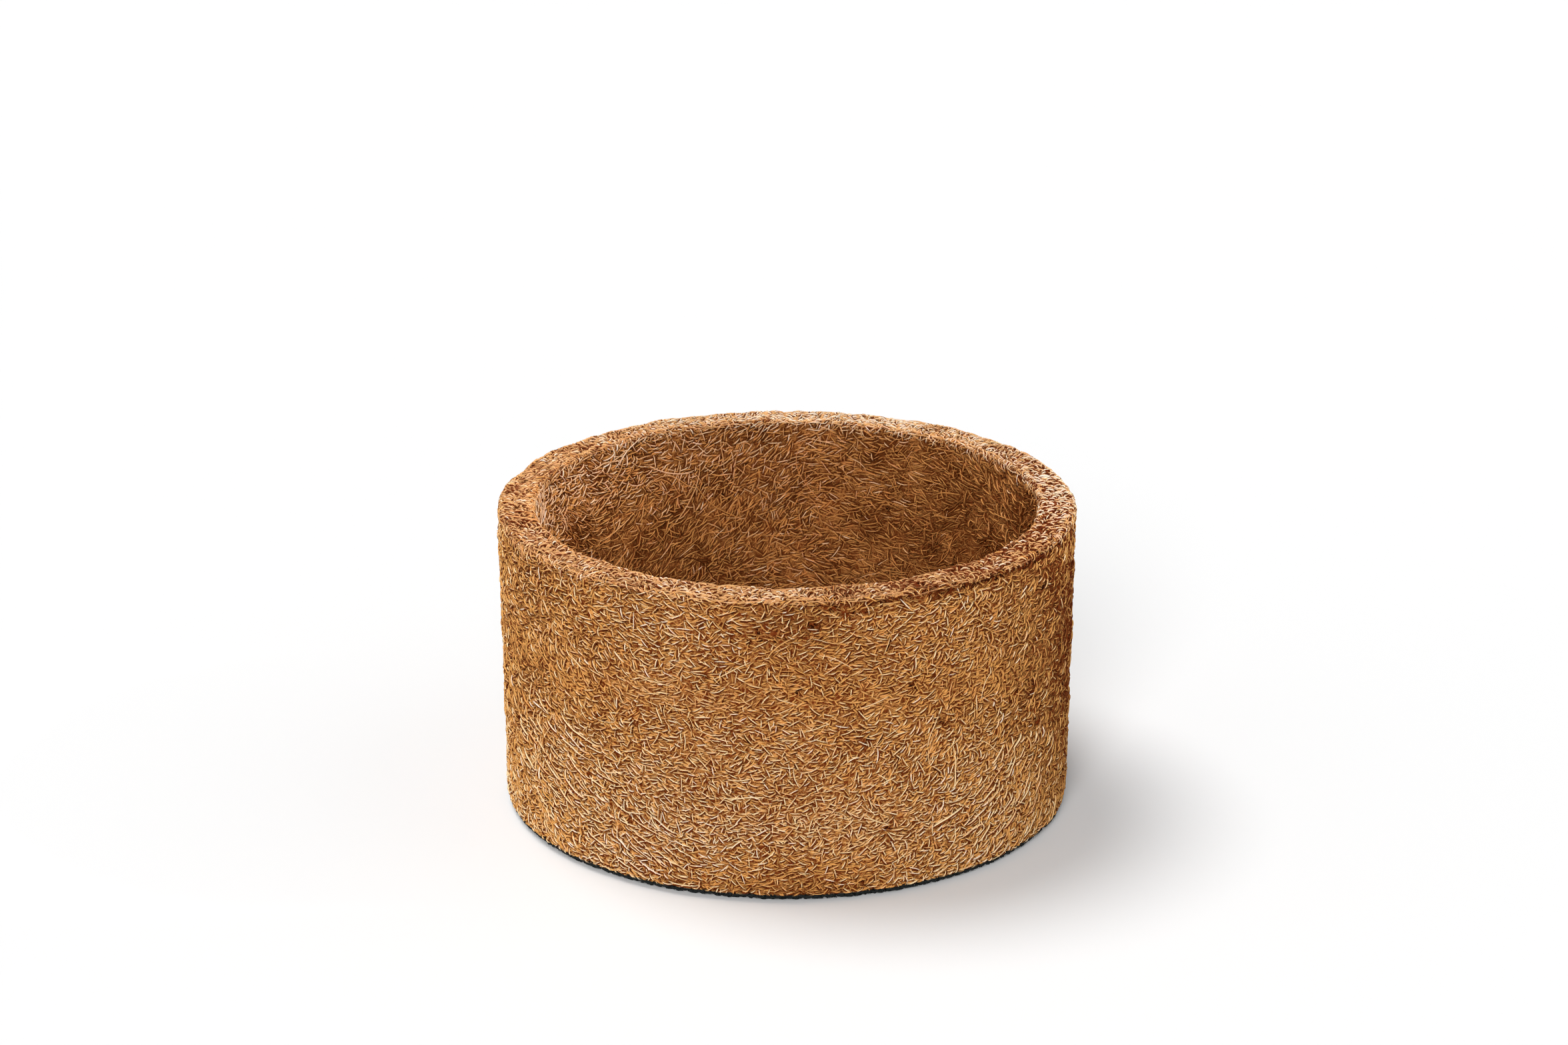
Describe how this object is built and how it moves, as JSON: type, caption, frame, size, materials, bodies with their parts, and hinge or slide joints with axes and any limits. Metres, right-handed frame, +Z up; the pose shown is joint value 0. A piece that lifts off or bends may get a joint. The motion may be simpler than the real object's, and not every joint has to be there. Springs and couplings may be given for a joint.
{
  "type": "coir plant pot",
  "caption": "Low round plant pot of coconut-fibre felt: a plied wall with butt seams, bonded with latex round a felt base disc",
  "frame": {"origin": "centre of the underside, on the ground the pot stands on", "axes": "+Z up along the pot's axis, -Y towards the front as pictured, +X to the right"},
  "size_m": [0.15, 0.15, 0.081],
  "materials": {
    "outer_coir": "matte golden tan coir felt, matted short fibres",
    "inner_coir": "matte brown coir felt, longer straight fibres",
    "base_coir": "matte brown coir felt",
    "latex": "dry natural latex, satin amber brown"
  },
  "bodies": {
    "root": {"outer_felt": "outer_coir", "inner_felt": "inner_coir", "base_felt": "base_coir", "outer_seam_latex": "latex", "inner_seam_latex": "latex", "base_edge_latex": "latex"}
  },
  "joints": []
}
